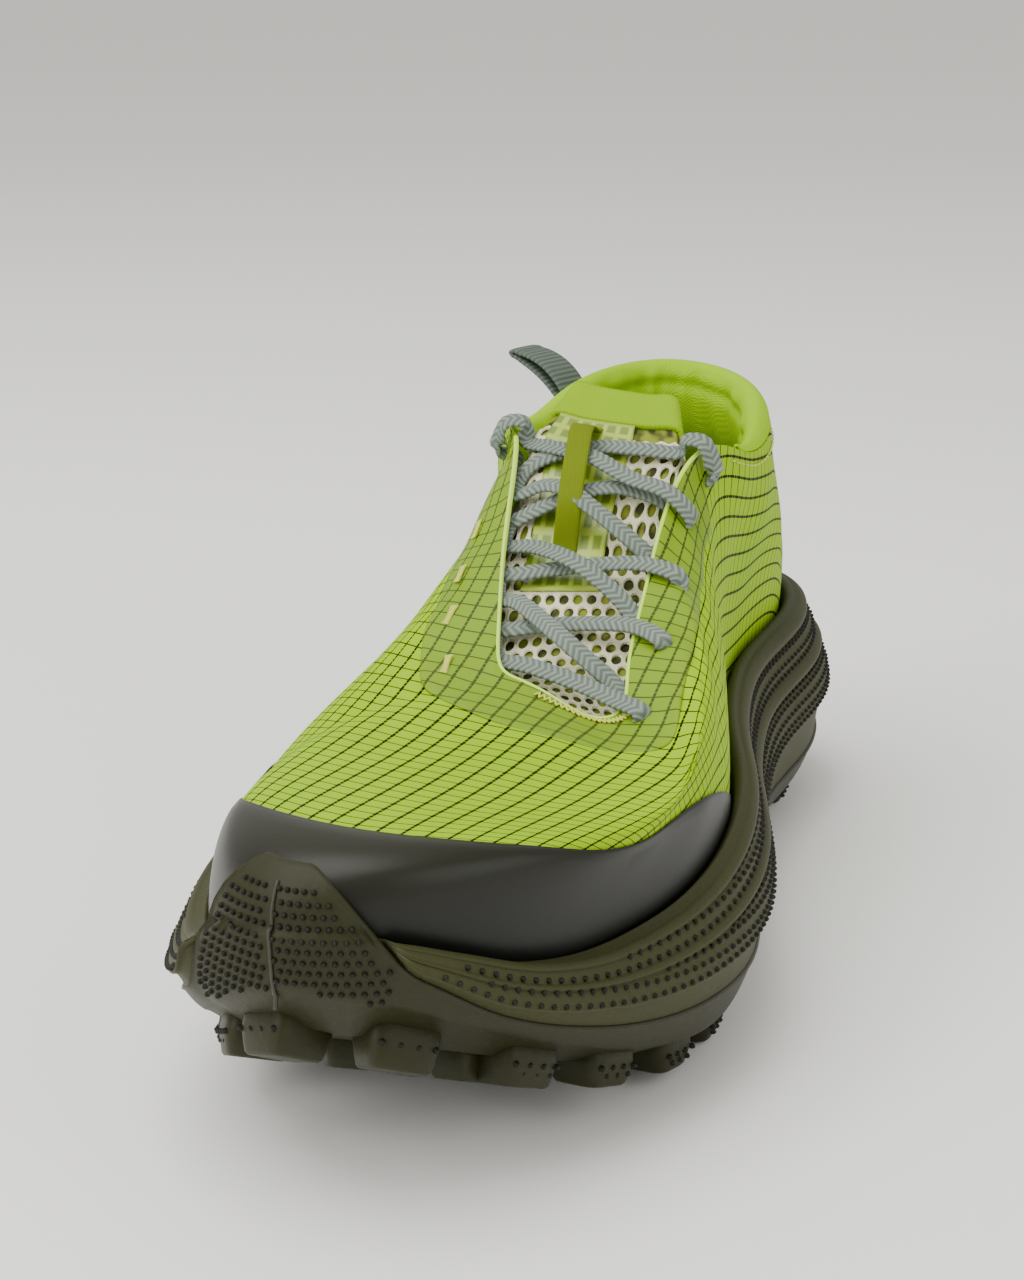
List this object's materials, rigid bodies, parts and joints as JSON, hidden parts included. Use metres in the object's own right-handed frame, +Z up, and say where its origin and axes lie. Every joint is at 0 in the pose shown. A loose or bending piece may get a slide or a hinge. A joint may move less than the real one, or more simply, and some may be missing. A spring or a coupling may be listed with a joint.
{
  "type": "running shoe",
  "caption": "Left low-cut trail running shoe with lugged wraparound outsole, thick foam midsole, laced ripstop upper, padded collar, tongue and heel pull tab.",
  "frame": {"origin": "on the ground, under the middle of the shoe's bounding box", "axes": "+X to the outer (lateral) side, +Y to the heel, +Z up; the toe points along -Y"},
  "size_m": [0.11, 0.2968, 0.1148],
  "materials": {
    "outsole_rubber": "matte dark olive moulded rubber",
    "midsole_foam": "matte olive moulded foam with a fine skin",
    "board_cloth": "stitched nonwoven cloth",
    "insole_foam": "matte open-cell foam",
    "lining_cloth": "brushed knit lining",
    "ripstop": "thin coated ripstop with a dark grid",
    "guard_film": "satin fused film",
    "stiffener": "moulded thermoplastic sheet",
    "eyestay_film": "translucent matte fused film",
    "collar_cloth": "smooth stretch knit",
    "tongue_mesh": "open spacer mesh",
    "tongue_patch": "thin translucent film",
    "lace_cord": "flat braided polyester",
    "aglet_film": "shrunk clear film",
    "webbing": "woven polyester tape",
    "thread": "polyester sewing thread"
  },
  "bodies": {
    "shoe": {"outsole": "outsole_rubber", "midsole": "midsole_foam", "strobel_board": "board_cloth", "upper_shell": "ripstop", "toe_guard": "guard_film", "toe_puff": "stiffener", "heel_counter": "stiffener", "eyestay_film": "eyestay_film", "collar_foam": "insole_foam", "collar_cover": "collar_cloth", "heel_lining": "lining_cloth", "tongue_mesh": "tongue_mesh", "tongue_padding": "insole_foam", "tongue_patch": "tongue_patch", "tongue_top_band": "collar_cloth", "lace_keeper": "collar_cloth", "gusset_lateral": "lining_cloth", "gusset_medial": "lining_cloth", "lace": "lace_cord", "aglets": "aglet_film", "lace_loops": "webbing", "bar_tacks": "thread", "throat_stitch": "thread", "heel_patch": "webbing"},
    "insole": {"sockliner_foam": "insole_foam", "sockliner_cloth": "lining_cloth"},
    "pull_loop": {"pull_tab": "webbing"}
  },
  "joints": [
    {"name": "pull_loop_hinge", "type": "hinge", "parent": "shoe", "child": "pull_loop", "pos_m": [-0.01943, 0.11408, 0.09709], "axis": [-0.419, -0.908, 0], "range_deg": [-35, 70]},
    {"name": "insole_lift", "type": "hinge", "parent": "shoe", "child": "insole", "pos_m": [0, -0.1393, 0.0471], "axis": [1, 0, 0], "range_deg": [0, 3]}
  ]
}
